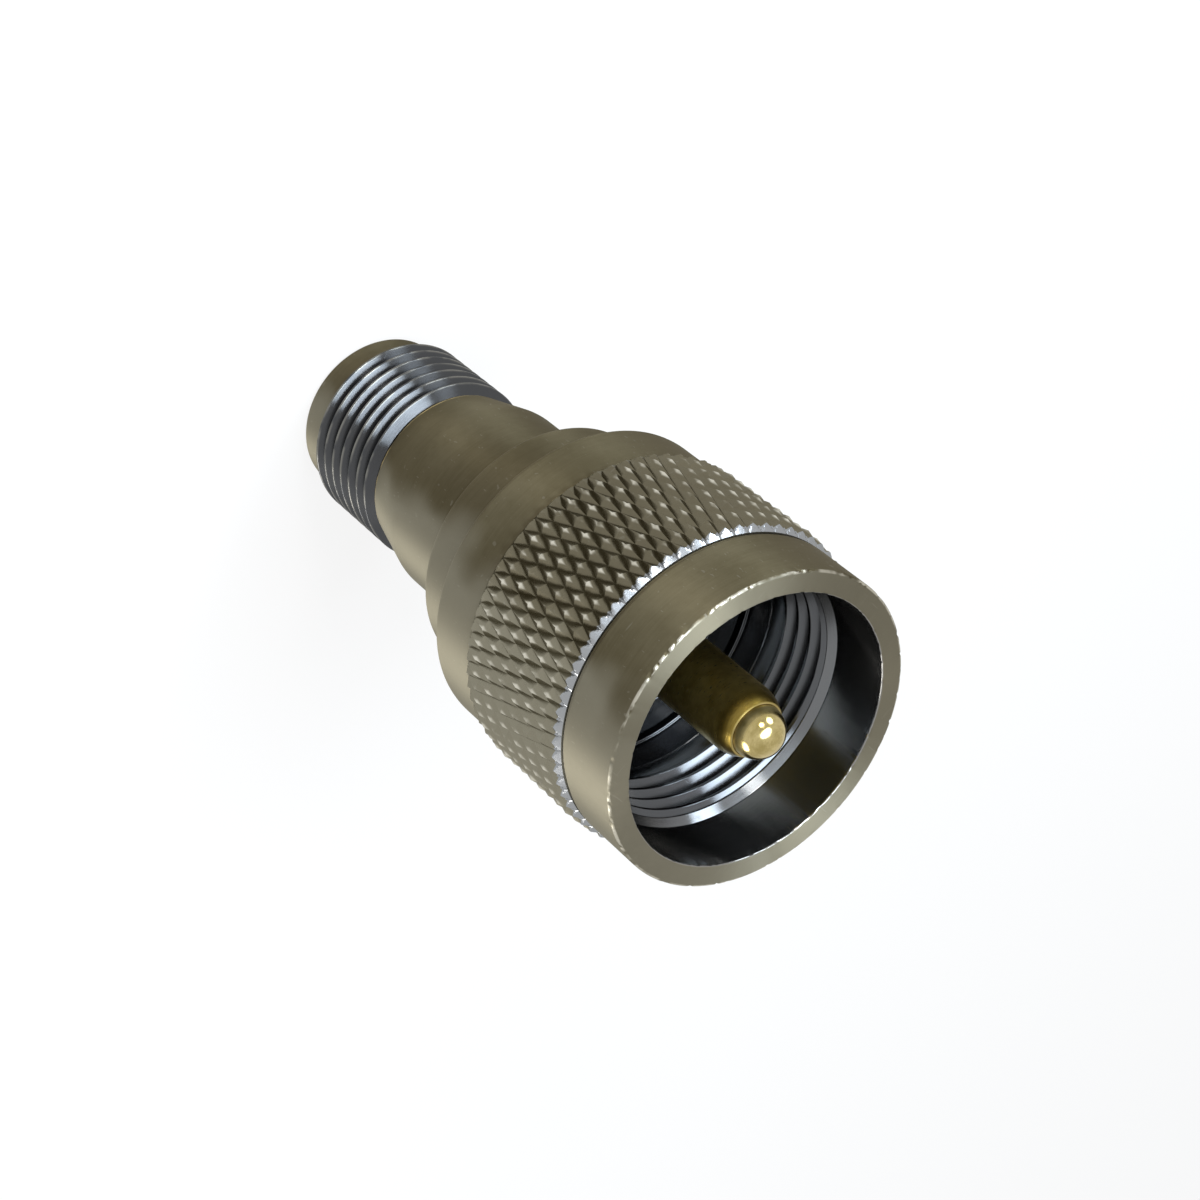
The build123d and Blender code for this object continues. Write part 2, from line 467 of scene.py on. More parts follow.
def eased(corners):
    """The outline's points, with every eased corner drawn as a short curve."""
    points = []
    for index, (radius, height, ease) in enumerate(corners):
        here = Vector((radius, height))
        if not ease:
            points.append(here)
            continue
        before = (Vector(corners[index - 1][:2]) - here).normalized()
        after = (Vector(corners[(index + 1) % len(corners)][:2]) - here).normalized()
        start, end = here + before * ease, here + after * ease
        points.append(start + before * HOLD_MM)
        for step in range(EASE_STEPS + 1):
            t = step / EASE_STEPS
            points.append(start * (1 - t) ** 2 + here * (2 * t * (1 - t)) + end * t ** 2)
        points.append(end + after * HOLD_MM)
    return points


print("an eased corner has", EASE_STEPS + 3, "points")

# %% A lathe
STEPS = 256
SHARP = math.radians(34)
ON_AXIS_MM = 0.000001


def spin(mesh, corners, steps=STEPS, sector=None):
    """Spins an outline into a mesh. A sector, in radians, leaves the rest of the turn open."""
    points = eased(corners)
    first, last = sector or (0.0, 2 * math.pi)
    count = steps + 1 if sector else steps
    rings = []
    for point in points:
        if point.x < ON_AXIS_MM:
            rings.append([mesh.verts.new((0, 0, point.y * MM))] * count)
            continue
        ring = []
        for step in range(count):
            angle = first + (last - first) * step / steps
            place = (point.x * math.cos(angle), point.x * math.sin(angle), point.y)
            ring.append(mesh.verts.new(Vector(place) * MM))
        rings.append(ring)
    for low, high in zip(rings, rings[1:] + rings[:1]):
        if low[0] is low[-1] and high[0] is high[-1]:
            continue
        for step in range(steps):
            after = (step + 1) % count
            corners_here = (low[step], low[after], high[after], high[step])
            mesh.faces.new(list(dict.fromkeys(corners_here)))
    if sector:
        mesh.faces.new([ring[0] for ring in rings])
        mesh.faces.new([ring[-1] for ring in reversed(rings)])


def shade(mesh, sharp=SHARP):
    """Turns every face outward, and shades smoothly except over sharp edges."""
    bmesh.ops.recalc_face_normals(mesh, faces=mesh.faces)
    for face in mesh.faces:
        face.smooth = True
    for edge in mesh.edges:
        edge.smooth = edge.is_manifold and edge.calc_face_angle() < sharp


print("the lathe takes", STEPS, "steps a turn")

# %% [markdown]
# A finished mesh becomes an object at the origin, with its place in its mesh, so that
# patterns on object coordinates lie right. It rides on a body, which a joint may move.
# It stands for a solid, which is then hidden.

# %% From a mesh to a piece
NUT = ("nut", "coupling_nut", "nickel_plate")
BODY = ("body", "main_body", "nickel_plate")


def piece(name, mesh, material, body, node, slot):
    """A finished mesh as an object that stands for a solid and moves with its body."""
    data = bpy.data.meshes.new(name)
    mesh.to_mesh(data)
    mesh.free()
    data.materials.append(material)
    made = bpy.data.objects.new(name, data)
    bpy.context.scene.collection.objects.link(made)
    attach(made, body)
    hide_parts(node)
    print(f"{name}: {len(data.vertices)} points, {len(data.polygons)} faces")


def turned(name, corners, material, *belongs):
    """A whole turned piece."""
    mesh = bmesh.new()
    spin(mesh, corners)
    shade(mesh)
    piece(name, mesh, material, *belongs)


print("piece helpers ready")

# %% [markdown]
# ## The nut's shell
# The coupling nut is one turned and plated piece. Its shell is everything but the
# knurl and the inner thread: the smooth band round the mouth, the rim, the wide
# counterbore, the root of the thread, a relief with a tool mark, the bore that runs
# on the body and the groove for the snap ring. Under the knurl the shell steps back,
# and the knurled sleeve covers that step.

# %% Sizes of the nut, from the mouth down
KNURL_HIGH = MOUTH - 4.3
KNURL_LOW = KNURL_HIGH - 8.8
SEAM_HIGH = KNURL_HIGH + 0.02
SEAM_LOW = KNURL_LOW - 0.02
CORE_R = NUT_R - 0.35
NECK_R = NUT_R - 0.12
NECK_END = KNURL_HIGH + 0.22
NECK_SLOPE = 0.1
MOUTH_R = 8.0
RIM_FLAT_FROM = 0.3
RIM_HOLD = 0.7
THREAD_TOP = MOUTH - MOUTH_DEPTH
LEAD_R = 7.6
LEAD_END = MOUTH - LEAD_DEPTH
ROOT_R = 7.97
ROOT_TOP = LEAD_END - 0.25
THREAD_BASE = MOUTH - 8.4
TOOL_MARK = MOUTH - 9.45
MARK_HALF = 0.06
MARK_DEPTH = 0.05
RELIEF_R = 7.95
RELIEF_BASE = MOUTH - 11.25
STEP_SLOPE = 0.05
NUT_BORE_R = JOURNAL_R + 0.1
GROOVE_R = NUT_BORE_R + 0.55
RING_PLAY = 0.05
GROOVE_LOW = ring_low.z - RING_PLAY
GROOVE_HIGH = ring_high.z + RING_PLAY
print(f"knurl {KNURL_LOW:.2f} to {KNURL_HIGH:.2f} mm, thread {THREAD_BASE:.2f} to {LEAD_END:.2f} mm")

# %% Outline of the nut's shell
nut_corners = [
    (NUT_BORE_R, NUT_BACK, 0.12),
    (NUT_R, NUT_BACK, 0.3),
    (NUT_R, SEAM_LOW, 0.06),
    (CORE_R, SEAM_LOW, 0),
    (CORE_R, SEAM_HIGH, 0),
    (NECK_R, SEAM_HIGH, 0.03),
    (NECK_R, NECK_END, 0.03),
    (NUT_R, NECK_END + NECK_SLOPE, 0.05),
    (NUT_R, MOUTH - RIM_HOLD, 0),
    (NUT_R, MOUTH, 0.16),
    (NUT_R - RIM_FLAT_FROM, MOUTH, 0),
    (MOUTH_R + RIM_FLAT_FROM, MOUTH, 0),
    (MOUTH_R, MOUTH, 0.12),
    (MOUTH_R, MOUTH - RIM_HOLD, 0),
    (MOUTH_R, THREAD_TOP, 0.03),
    (LEAD_R, LEAD_END, 0.05),
    (ROOT_R, ROOT_TOP, 0),
    (ROOT_R, THREAD_BASE, 0),
    (RELIEF_R, THREAD_BASE - STEP_SLOPE, 0),
    (RELIEF_R, TOOL_MARK + MARK_HALF, 0.02),
    (RELIEF_R + MARK_DEPTH, TOOL_MARK, 0.02),
    (RELIEF_R, TOOL_MARK - MARK_HALF, 0.02),
    (RELIEF_R, RELIEF_BASE, 0.04),
    (NUT_BORE_R, RELIEF_BASE - STEP_SLOPE, 0.05),
    (NUT_BORE_R, GROOVE_HIGH, 0.04),
    (GROOVE_R, GROOVE_HIGH, 0),
    (GROOVE_R, GROOVE_LOW, 0),
    (NUT_BORE_R, GROOVE_LOW, 0.04),
]
print("the shell's outline has", len(nut_corners), "corners")

# %% [markdown]
# The rim has small nicks from being put down and picked up. They are cut into the
# mesh: points near the two edges of the rim move into the metal where a patch of noise
# is high. The noise is a fixed function of place, so every run gives the same nicks.

# %% Nut shell, with nicks in its rim
NICK_REACH = 0.26
NICK_SCALE = 3.8
NICK_LEVEL = 0.18
NICK_GAIN = 4
OUTER_NICK = 0.065
INNER_NICK = 0.035
RIM_STEPS = 384


def nick(mesh, radius, height, deepest):
    """Dents the edge that lies at this radius and height."""
    for point in mesh.verts:
        place = point.co / MM
        reach = math.hypot(math.hypot(place.x, place.y) - radius, place.z - height)
        if reach > NICK_REACH:
            continue
        depth = noise.noise(place * NICK_SCALE) - NICK_LEVEL
        if depth > 0:
            amount = deepest * min(1.0, NICK_GAIN * depth) * (1 - reach / NICK_REACH)
            outward = Vector((place.x, place.y, 0)).normalized()
            side = 1 if radius > (MOUTH_R + NUT_R) / 2 else -1
            point.co -= (outward * side + Vector((0, 0, 1))) * amount * MM


nut_mesh = bmesh.new()
spin(nut_mesh, nut_corners, steps=RIM_STEPS)
nick(nut_mesh, NUT_R, MOUTH, OUTER_NICK)
nick(nut_mesh, MOUTH_R, MOUTH, INNER_NICK)
shade(nut_mesh)
piece("nut_shell", nut_mesh, nickel_nut, *NUT)

# %% [markdown]
# ## The knurl
# A diamond knurl is rolled: two hardened wheels press slanted grooves into the turning
# nut, and where the grooves cross, rows of four-sided studs are left standing. The
# studs could be modelled one by one, but a knurl follows a rule, so Geometry Nodes make
# it. One stud is a fan of four triangles, cut finer and pulled up into a pyramid with
# a slightly worn tip. It is set on every second crossing of a flat grid, as on a
# draughts board, with a little random height. The flat sheet is then rolled round the
# axis, which turns its width into an angle and its thickness into a radius.

# %% Helpers for Geometry Nodes
def new_tree(name, whole, decimal):
    """An empty Geometry Nodes tree with named inputs for numbers, and one for the material."""
    group = bpy.data.node_groups.new(name, "GeometryNodeTree")
    for kind, labels in (("NodeSocketInt", whole), ("NodeSocketFloat", decimal)):
        for label in labels:
            group.interface.new_socket(label, in_out="INPUT", socket_type=kind)
    group.interface.new_socket("Material", in_out="INPUT", socket_type="NodeSocketMaterial")
    group.interface.new_socket("Geometry", in_out="OUTPUT", socket_type="NodeSocketGeometry")
    tree = Tree(group)
    tree.node_inputs = group.nodes.new("NodeGroupInput")
    return tree


def asked(tree, label):
    """A named input of the tree, as a socket for sums."""
    return Link(tree, tree.node_inputs.outputs[label])


def end_tree(tree, geometry):
    """Realize Instances and Set Material, then the output."""
    real = tree.node("GeometryNodeRealizeInstances", None, {"Geometry": geometry})
    sockets = {"Geometry": real, "Material": asked(tree, "Material")}
    made = tree.node("GeometryNodeSetMaterial", None, sockets)
    last = tree.tree.nodes.new("NodeGroupOutput")
    tree.tree.links.new(made.socket, last.inputs["Geometry"])


def set_position(tree, geometry, position):
    sockets = {"Geometry": geometry, "Position": position}
    return tree.node("GeometryNodeSetPosition", None, sockets)


print("helpers for Geometry Nodes ready")

# %% The knurl's node tree
SHORTEST_STUD = 0.88
WELD_MM = 0.01


def knurl_tree():
    """A grid of pyramid studs, cut off at both ends and rolled round the axis."""
    tree = new_tree("diamond_knurl", ("Studs Around", "Half Rows", "Seed"), (
        "Low", "High", "Crest Radius", "Depth", "Worn Tip",
    ))
    around, rows = asked(tree, "Studs Around"), asked(tree, "Half Rows")
    low, high = asked(tree, "Low"), asked(tree, "High")
    crest, depth = asked(tree, "Crest Radius"), asked(tree, "Depth")
    width = crest * (2 * math.pi) / around
    row = (high - low) / rows

    fan = tree.node("GeometryNodeMeshCircle", {"fill_type": "TRIANGLE_FAN"}, {"Vertices": 4, "Radius": 1.0})
    fine = tree.node("GeometryNodeSubdivideMesh", None, {"Mesh": fan, "Level": 2})
    x, y, _ = tree.parts(tree.node("GeometryNodeInputPosition"))
    away = x.math("ABSOLUTE") + y.math("ABSOLUTE")
    worn = (away * away + asked(tree, "Worn Tip") ** 2) ** 0.5
    rise = (1 - worn).most(0.0) * depth
    stud = set_position(tree, fine, tree.vector(x * width * 0.5, y * row, rise))

    columns = around * 2
    sheet = tree.node("GeometryNodeMeshGrid", None, {
        "Size X": (columns - 1) * width * 0.5,
        "Size Y": row * rows,
        "Vertices X": columns,
        "Vertices Y": rows + 1,
    })
    gx, gy, _ = tree.parts(tree.node("GeometryNodeInputPosition"))
    column = (gx / (width * 0.5) + columns * 0.5).math("ROUND")
    line = (gy / row + rows * 0.5).math("ROUND")
    even = ((column + line) % 2) < 0.5
    scale = tree.node("FunctionNodeRandomValue", {"data_type": "FLOAT"}, {
        2: SHORTEST_STUD,
        3: 1.0,
        "Seed": asked(tree, "Seed"),
    }, output=1)
    studs = tree.node("GeometryNodeInstanceOnPoints", None, {
        "Points": sheet,
        "Selection": even,
        "Instance": stud,
        "Scale": tree.vector(1.0, 1.0, scale),
    })
    real = tree.node("GeometryNodeRealizeInstances", None, {"Geometry": studs})

    _, height, _ = tree.parts(tree.node("GeometryNodeInputPosition"))
    beyond = height.math("ABSOLUTE") > row * rows * 0.5
    cut = tree.node("GeometryNodeDeleteGeometry", {"domain": "FACE"}, {"Geometry": real, "Selection": beyond})

    px, py, pz = tree.parts(tree.node("GeometryNodeInputPosition"))
    angle = px / crest
    radius = crest - depth + pz
    place = tree.vector(radius * angle.math("COSINE"), radius * angle.math("SINE"), py + (low + high) * 0.5)
    rolled = set_position(tree, cut, place)
    welded = tree.node("GeometryNodeMergeByDistance", None, {"Geometry": rolled, "Distance": WELD_MM * MM})
    end_tree(tree, welded)
    return tree.tree


knurl_group = knurl_tree()
print("knurl tree:", len(knurl_group.nodes), "nodes")

# %% [markdown]
# A tree works on an object, through a modifier. Its inputs are set by their
# identifiers, the result is copied to a plain mesh, and modifier and object go again.

# %% Running a tree
def grown(name, group, values):
    """Runs a Geometry Nodes tree once and returns its result as a bmesh."""
    holder = bpy.data.objects.new(name + "_holder", bpy.data.meshes.new(name + "_holder"))
    bpy.context.scene.collection.objects.link(holder)
    modifier = holder.modifiers.new("nodes", "NODES")
    modifier.node_group = group
    for item in group.interface.items_tree:
        if item.in_out == "INPUT" and item.name in values:
            modifier[item.identifier] = values[item.name]
    depsgraph = bpy.context.evaluated_depsgraph_get()
    data = bpy.data.meshes.new_from_object(holder.evaluated_get(depsgraph))
    mesh = bmesh.new()
    mesh.from_mesh(data)
    holder.modifiers.remove(modifier)
    bpy.data.objects.remove(holder)
    bpy.data.meshes.remove(data)
    return mesh


print("trees can be run")

# %% [markdown]
# The sheet of studs is open at both ends. The knurling wheel leaves a ragged edge
# there, which the turner takes off with a short chamfer: it is the bright, saw-toothed
# line in front of the knurl. The last rows are cut finer and pulled in under the cone
# of that chamfer. Then the ends are closed down to the nut's core and joined by a tube.

# %% Knurled sleeve
KNURL_STUDS = 66
KNURL_HALF_ROWS = 7
KNURL_DEPTH = 0.42
KNURL_SHARP = math.radians(18)
CHAMFER_FOOT_R = NUT_R - 0.02
CHAMFER_SLOPE = 1.1
CUT_FINER_MM = 0.8
KNURL_BORE_R = CORE_R - 0.1

knurl = grown("knurl", knurl_group, {
    "Studs Around": KNURL_STUDS,
    "Half Rows": KNURL_HALF_ROWS,
    "Low": KNURL_LOW * MM,
    "High": KNURL_HIGH * MM,
    "Crest Radius": CREST_R * MM,
    "Depth": KNURL_DEPTH * MM,
    "Worn Tip": 0.09,
    "Seed": 7,
    "Material": nickel_knurl,
})


def end_distance(height):
    """How far a height, in millimetres, lies inside the nearer end of the knurl."""
    return min(KNURL_HIGH - height, height - KNURL_LOW)


rough_edges = [
    edge for edge in knurl.edges
    if end_distance((edge.verts[0].co.z + edge.verts[1].co.z) / 2 / MM) < CUT_FINER_MM
]
bmesh.ops.subdivide_edges(knurl, edges=rough_edges, cuts=1, use_grid_fill=True)
for point in knurl.verts:
    radius = point.co.xy.length / MM
    most = CHAMFER_FOOT_R + max(0.0, end_distance(point.co.z / MM)) * CHAMFER_SLOPE
    if radius > most:
        point.co.xy *= most / radius
rims = [edge for edge in knurl.edges if edge.is_boundary]
closing = bmesh.ops.extrude_edge_only(knurl, edges=rims)["geom"]
inner = [item for item in closing if isinstance(item, bmesh.types.BMVert)]
for point in inner:
    point.co.xy *= KNURL_BORE_R * MM / point.co.xy.length
inner_rims = [edge for edge in knurl.edges if edge.is_boundary]
bmesh.ops.bridge_loops(knurl, edges=inner_rims)
shade(knurl, sharp=KNURL_SHARP)
print("open edges left in the knurl:", sum(not edge.is_manifold for edge in knurl.edges))
piece("knurl_sleeve", knurl, nickel_knurl, *NUT)

# %% [markdown]
# ## The threads
# A thread is a ridge that climbs round the axis. Its path is a spiral curve and its
# section a trapezoid, and Curve to Mesh sweeps the one along the other. The turns run
# past both ends of the thread. A Set Position node holds them under a cone at each
# end, the chamfer that lets a real thread start, and the overrun is cut off flat
# afterwards. The same tree makes the outer thread of the jack and the inner thread of
# the nut: only the side on which the crest stands differs.

# %% The thread's node tree
def thread_tree():
    """A ridge that climbs round the axis and fades out under a cone at both ends."""
    tree = new_tree("thread", ("Steps",), (
        "Pitch", "Low", "High", "Root Radius", "Crest Radius", "Root Width", "Crest Width",
        "Start Turn", "End Stand", "End Slope",
    ))
    pitch, low, high = asked(tree, "Pitch"), asked(tree, "Low"), asked(tree, "High")
    root, crest = asked(tree, "Root Radius"), asked(tree, "Crest Radius")
    direction = (crest - root).math("SIGN")
    turns = ((high - low) / pitch).math("CEIL") + 2
    spiral = tree.node("GeometryNodeCurveSpiral", None, {
        "Resolution": asked(tree, "Steps"),
        "Rotations": turns,
        "Start Radius": (root + crest) * 0.5,
        "End Radius": (root + crest) * 0.5,
        "Height": turns * pitch,
        "Reverse": True,
    })
    upright = tree.node("GeometryNodeSetCurveNormal", {"mode": "Z_UP"}, {"Curve": spiral})
    section = tree.node("GeometryNodeCurvePrimitiveQuadrilateral", {"mode": "TRAPEZOID"}, {
        "Bottom Width": asked(tree, "Root Width"),
        "Top Width": asked(tree, "Crest Width"),
        "Height": (crest - root).math("ABSOLUTE"),
        "Offset": 0.0,
    })
    rounded = tree.node("GeometryNodeFilletCurve", {"mode": "POLY"}, {
        "Curve": section,
        "Count": 2,
        "Radius": asked(tree, "Crest Width") * 0.3,
    })
    laid = tree.node("GeometryNodeTransform", None, {
        "Geometry": rounded,
        "Rotation": tree.vector(0.0, 0.0, direction * (-math.pi / 2)),
    })
    ridge = tree.node("GeometryNodeCurveToMesh", None, {
        "Curve": upright,
        "Profile Curve": laid,
        "Fill Caps": True,
    })
    start = low + (asked(tree, "Start Turn") - 1) * pitch
    raised = tree.node("GeometryNodeTransform", None, {
        "Geometry": ridge,
        "Translation": tree.vector(0.0, 0.0, start),
    })
    x, y, z = tree.parts(tree.node("GeometryNodeInputPosition"))
    radius = (x * x + y * y) ** 0.5
    inside = (z - low).least(high - z)
    allowed = (inside * asked(tree, "End Slope") + asked(tree, "End Stand")).most(0.0)
    stand = ((radius - root) * direction).least(allowed)
    scale = (root + stand * direction) / radius
    held = set_position(tree, raised, tree.vector(x * scale, y * scale, z))
    end_tree(tree, held)
    return tree.tree


thread_group = thread_tree()
print("thread tree:", len(thread_group.nodes), "nodes")

# %% [markdown]
# The jack's thread has 28 turns to the inch and the nut's has 24. The nut's thread
# stands inward from the wall, behind the wide, bright chamfer that is part of the shell.
# Each ridge starts a little inside the metal of its shell, so that no gap can show.

# %% Cutting a thread to length
THREAD_SHARP = math.radians(12)


def thread(name, values, material, belongs, steps=160):
    """Grows a thread, cuts it flat at both ends and closes the cuts."""
    low, high = values["Low"], values["High"]
    plain = ("Start Turn", "End Slope")
    asked_for = {label: value if label in plain else value * MM for label, value in values.items()}
    asked_for.update({"Steps": steps, "Material": material})
    mesh = grown(name, thread_group, asked_for)
    capped = 0.0
    for height, up in ((low, -1), (high, 1)):
        whole = mesh.verts[:] + mesh.edges[:] + mesh.faces[:]
        plane = {"plane_co": (0, 0, height * MM), "plane_no": (0, 0, up)}
        bmesh.ops.bisect_plane(mesh, geom=whole, clear_outer=True, **plane)
        cut = [edge for edge in mesh.edges if edge.is_boundary]
        caps = bmesh.ops.triangle_fill(mesh, edges=cut, use_beauty=True)["geom"]
        capped += sum(item.calc_area() for item in caps if isinstance(item, bmesh.types.BMFace))
    print(f"{name}: caps of {capped / MM ** 2:.2f} mm2")
    shade(mesh, sharp=THREAD_SHARP)
    reach = [point.co.xy.length / MM for point in mesh.verts]
    print(f"{name}: radius {min(reach):.3f} to {max(reach):.3f} mm,",
          "open edges:", sum(not edge.is_manifold for edge in mesh.edges))
    piece(name, mesh, material, *belongs)


print("threads are sharp above", round(math.degrees(THREAD_SHARP)), "degrees")

# %% Both threads
INCH = 25.4
JACK_PITCH = INCH / 28
NUT_PITCH = INCH / 24
NOSE_R = 4.95
JACK_THREAD_R = 5.55
JACK_THREAD_LOW = 1.75
JACK_THREAD_HIGH = 8.4
NUT_THREAD_R = 7.42
ROOT_SUNK = 0.06

thread("jack_thread", {
    "Pitch": JACK_PITCH,
    "Root Radius": NOSE_R - ROOT_SUNK,
    "Crest Radius": JACK_THREAD_R,
    "Root Width": JACK_PITCH * 0.985,
    "Crest Width": JACK_PITCH * 0.12,
    "Low": JACK_THREAD_LOW,
    "High": JACK_THREAD_HIGH,
    "Start Turn": 0.0,
    "End Stand": 0.1,
    "End Slope": 2.2,
}, nickel_outer_thread, BODY)

thread("nut_thread", {
    "Pitch": NUT_PITCH,
    "Root Radius": ROOT_R + ROOT_SUNK,
    "Crest Radius": NUT_THREAD_R,
    "Root Width": NUT_PITCH * 0.94,
    "Crest Width": NUT_PITCH * 0.16,
    "Low": THREAD_BASE,
    "High": LEAD_END,
    "Start Turn": 0.35,
    "End Stand": 0.3,
    "End Slope": 1.0,
}, nickel_inner_thread, NUT, steps=224)

# %% [markdown]
# ## The body
# The body is one turned bar from end to end: the jack's nose, the root of its thread, a
# cone, the barrel, the journal on which the nut runs, the groove for the snap ring, the
# flange with two locating teeth, and the raised collar round the front insulator. Its
# bores hold the insulators, and a thin lip shows at the foot of the jack's bore.

# %% Sizes of the body, from the jack up
BASE = body_low.z
JACK_BORE_R = 4.05
JACK_BORE_DEPTH = 5.4
LIP_R = 2.45
LIP_END = 6.4
ROOT_END = 8.35
CONE_START = 8.45
CONE_START_R = 5.1
CONE_END = 11.9
BARREL_R = 5.95
BARREL_END = 18.1
RING_SEAT = 23.15
RING_GAP_END = 25.75
BODY_GROOVE_R = 6.85
FLANGE_R = 7.55
FLANGE_END = 26.95
COLLAR_R = 6.1
COLLAR_END = 27.35
FRONT_BORE_R = 5.3
REAR_BORE_R = 3.5
print(f"barrel {CONE_END:.2f} to {BARREL_END:.2f} mm, {2 * BARREL_R:.1f} mm across")

# %% Body shell
turned("body_shell", [
    (JACK_BORE_R, BASE, 0.15),
    (NOSE_R, BASE, 0.3),
    (NOSE_R, ROOT_END, 0),
    (CONE_START_R, CONE_START, 0.05),
    (BARREL_R, CONE_END, 0.3),
    (BARREL_R, BARREL_END, 0.1),
    (JOURNAL_R, BARREL_END, 0.35),
    (JOURNAL_R, RING_SEAT, 0.05),
    (BODY_GROOVE_R, RING_SEAT, 0),
    (BODY_GROOVE_R, RING_GAP_END, 0),
    (FLANGE_R, RING_GAP_END, 0.05),
    (FLANGE_R, FLANGE_END, 0.12),
    (COLLAR_R, FLANGE_END, 0.05),
    (COLLAR_R, COLLAR_END, 0.1),
    (FRONT_BORE_R, COLLAR_END, 0.08),
    (FRONT_BORE_R, front_low.z, 0),
    (REAR_BORE_R, front_low.z, 0),
    (REAR_BORE_R, LIP_END, 0),
    (LIP_R, LIP_END, 0),
    (LIP_R, JACK_BORE_DEPTH, 0.06),
    (JACK_BORE_R, JACK_BORE_DEPTH, 0.1),
], nickel_body, *BODY)

# %% [markdown]
# Two teeth stand on the flange and key into the mating shell. Each is a short sector
# of a turned ring, left standing when a mill took the rest away.

# %% Locating teeth
TOOTH_OUTER_R = FLANGE_R - 0.2
TOOTH_INNER_R = TOOTH_OUTER_R - 0.9
TOOTH_WIDTH = 2.2
TOOTH_LOW = FLANGE_END - 0.1
TOOTH_HIGH = FLANGE_END + 0.7
tooth_half = math.asin(TOOTH_WIDTH / 2 / TOOTH_OUTER_R)

teeth = bmesh.new()
for middle in (math.pi / 2, -math.pi / 2):
    spin(teeth, [
        (TOOTH_INNER_R, TOOTH_LOW, 0),
        (TOOTH_OUTER_R, TOOTH_LOW, 0),
        (TOOTH_OUTER_R, TOOTH_HIGH, 0.08),
        (TOOTH_INNER_R, TOOTH_HIGH, 0.08),
    ], steps=12, sector=(middle - tooth_half, middle + tooth_half))
shade(teeth)
piece("locating_teeth", teeth, nickel_body, *BODY)

# %% [markdown]
# ## The snap ring
# An open ring of spring bronze keeps the nut on the body. It sits in the groove of the
# nut and slides in the wider groove of the body, so it moves with the nut but doesn't
# turn with it.

# %% Snap ring
RING_INNER_R = FLANGE_R - 0.65
RING_OUTER_R = GROOVE_R - 0.1
RING_GAP = 2.6
gap_half = math.asin(RING_GAP / 2 / RING_INNER_R)

ring_mesh = bmesh.new()
spin(ring_mesh, [
    (RING_INNER_R, ring_low.z, 0.12),
    (RING_OUTER_R, ring_low.z, 0.12),
    (RING_OUTER_R, ring_high.z, 0.12),
    (RING_INNER_R, ring_high.z, 0.12),
], sector=(gap_half, 2 * math.pi - gap_half))
shade(ring_mesh)
piece("split_ring", ring_mesh, spring_bronze, "retaining_ring", "snap_ring", "spring_bronze")

# %% [markdown]
# ## The insulators
# Both are turned from white rod. The front one is a thick disc that centres the pin. The
# rear one is pressed into the body and ends in a thin sleeve that stands in the jack's bore.

# %% Insulators
PIN_SEAT_R = 2.3
SLEEVE_R = 2.36
SLEEVE_BORE_R = 1.15

turned("front_disc", [
    (PIN_SEAT_R, front_low.z, 0),
    (FRONT_BORE_R, front_low.z, 0.1),
    (FRONT_BORE_R, front_high.z, 0.15),
    (PIN_SEAT_R, front_high.z, 0.12),
], white_insulator, "body", "front_insulator", "white_insulator")

turned("jack_sleeve", [
    (SLEEVE_BORE_R, rear_low.z, 0.2),
    (SLEEVE_R, rear_low.z, 0.12),
    (SLEEVE_R, LIP_END, 0),
    (REAR_BORE_R, LIP_END, 0.1),
    (REAR_BORE_R, rear_high.z, 0.1),
    (SLEEVE_BORE_R, rear_high.z, 0.1),
], white_insulator, "body", "rear_insulator", "white_insulator")

# %% [markdown]
# ## The centre line
# The plug's pin is gold-plated. Its shank tapers in a slow curve to a small shoulder,
# and in front of the shoulder stands a polished ball. The ball is a quarter circle in
# the outline, so one spin makes shank, shoulder and ball in one closed skin.

# %% Taper and ball of the pin
PIN_R = 2.0
BALL_R = 1.5
BALL_CENTRE = pin_high.z - BALL_R
BALL_FOOT_DEG = -4
BALL_STEPS = 28
SHOULDER_R = 1.64
TAPER_START = BALL_CENTRE - 1.5
TAPER_END = BALL_CENTRE - 0.1
TAPER_POWER = 2.2
TAPER_STEPS = 10

taper = []
for step in range(1, TAPER_STEPS + 1):
    t = step / TAPER_STEPS
    radius = PIN_R - (PIN_R - SHOULDER_R) * t ** TAPER_POWER
    taper.append((radius, TAPER_START + (TAPER_END - TAPER_START) * t, 0))
ball = []
for step in range(BALL_STEPS + 1):
    climb = math.radians(BALL_FOOT_DEG + (90 - BALL_FOOT_DEG) * step / BALL_STEPS)
    ball.append((max(0.0, BALL_R * math.cos(climb)), BALL_CENTRE + BALL_R * math.sin(climb), 0))
print(f"pin: {2 * PIN_R:.1f} mm across, ball {2 * BALL_R:.1f} mm")

# %% Pin
SPIGOT_R = 0.7
PIN_COLLAR_R = 2.7
PIN_COLLAR_START = rear_high.z
SHOULDER_STEP = 0.1
BALL_FOOT = BALL_CENTRE - 0.06

turned("plug_pin", [
    (0, pin_low.z, 0),
    (SPIGOT_R, pin_low.z, 0.1),
    (SPIGOT_R, PIN_COLLAR_START, 0),
    (PIN_COLLAR_R, PIN_COLLAR_START, 0),
    (PIN_COLLAR_R, front_low.z, 0),
    (PIN_SEAT_R, front_low.z, 0),
    (PIN_SEAT_R, front_high.z, 0.06),
    (PIN_R, front_high.z, 0),
    (PIN_R, TAPER_START, 0),
    *taper,
    (SHOULDER_R - SHOULDER_STEP, BALL_FOOT, 0),
    *ball,
], gold_plate, "body", "centre_pin", "gold_plate")

# %% [markdown]
# The jack's socket is a tube slotted into four springy fingers. The fingers are sectors
# of a ring, drawn in a little at the mouth, and the tube behind them is whole.

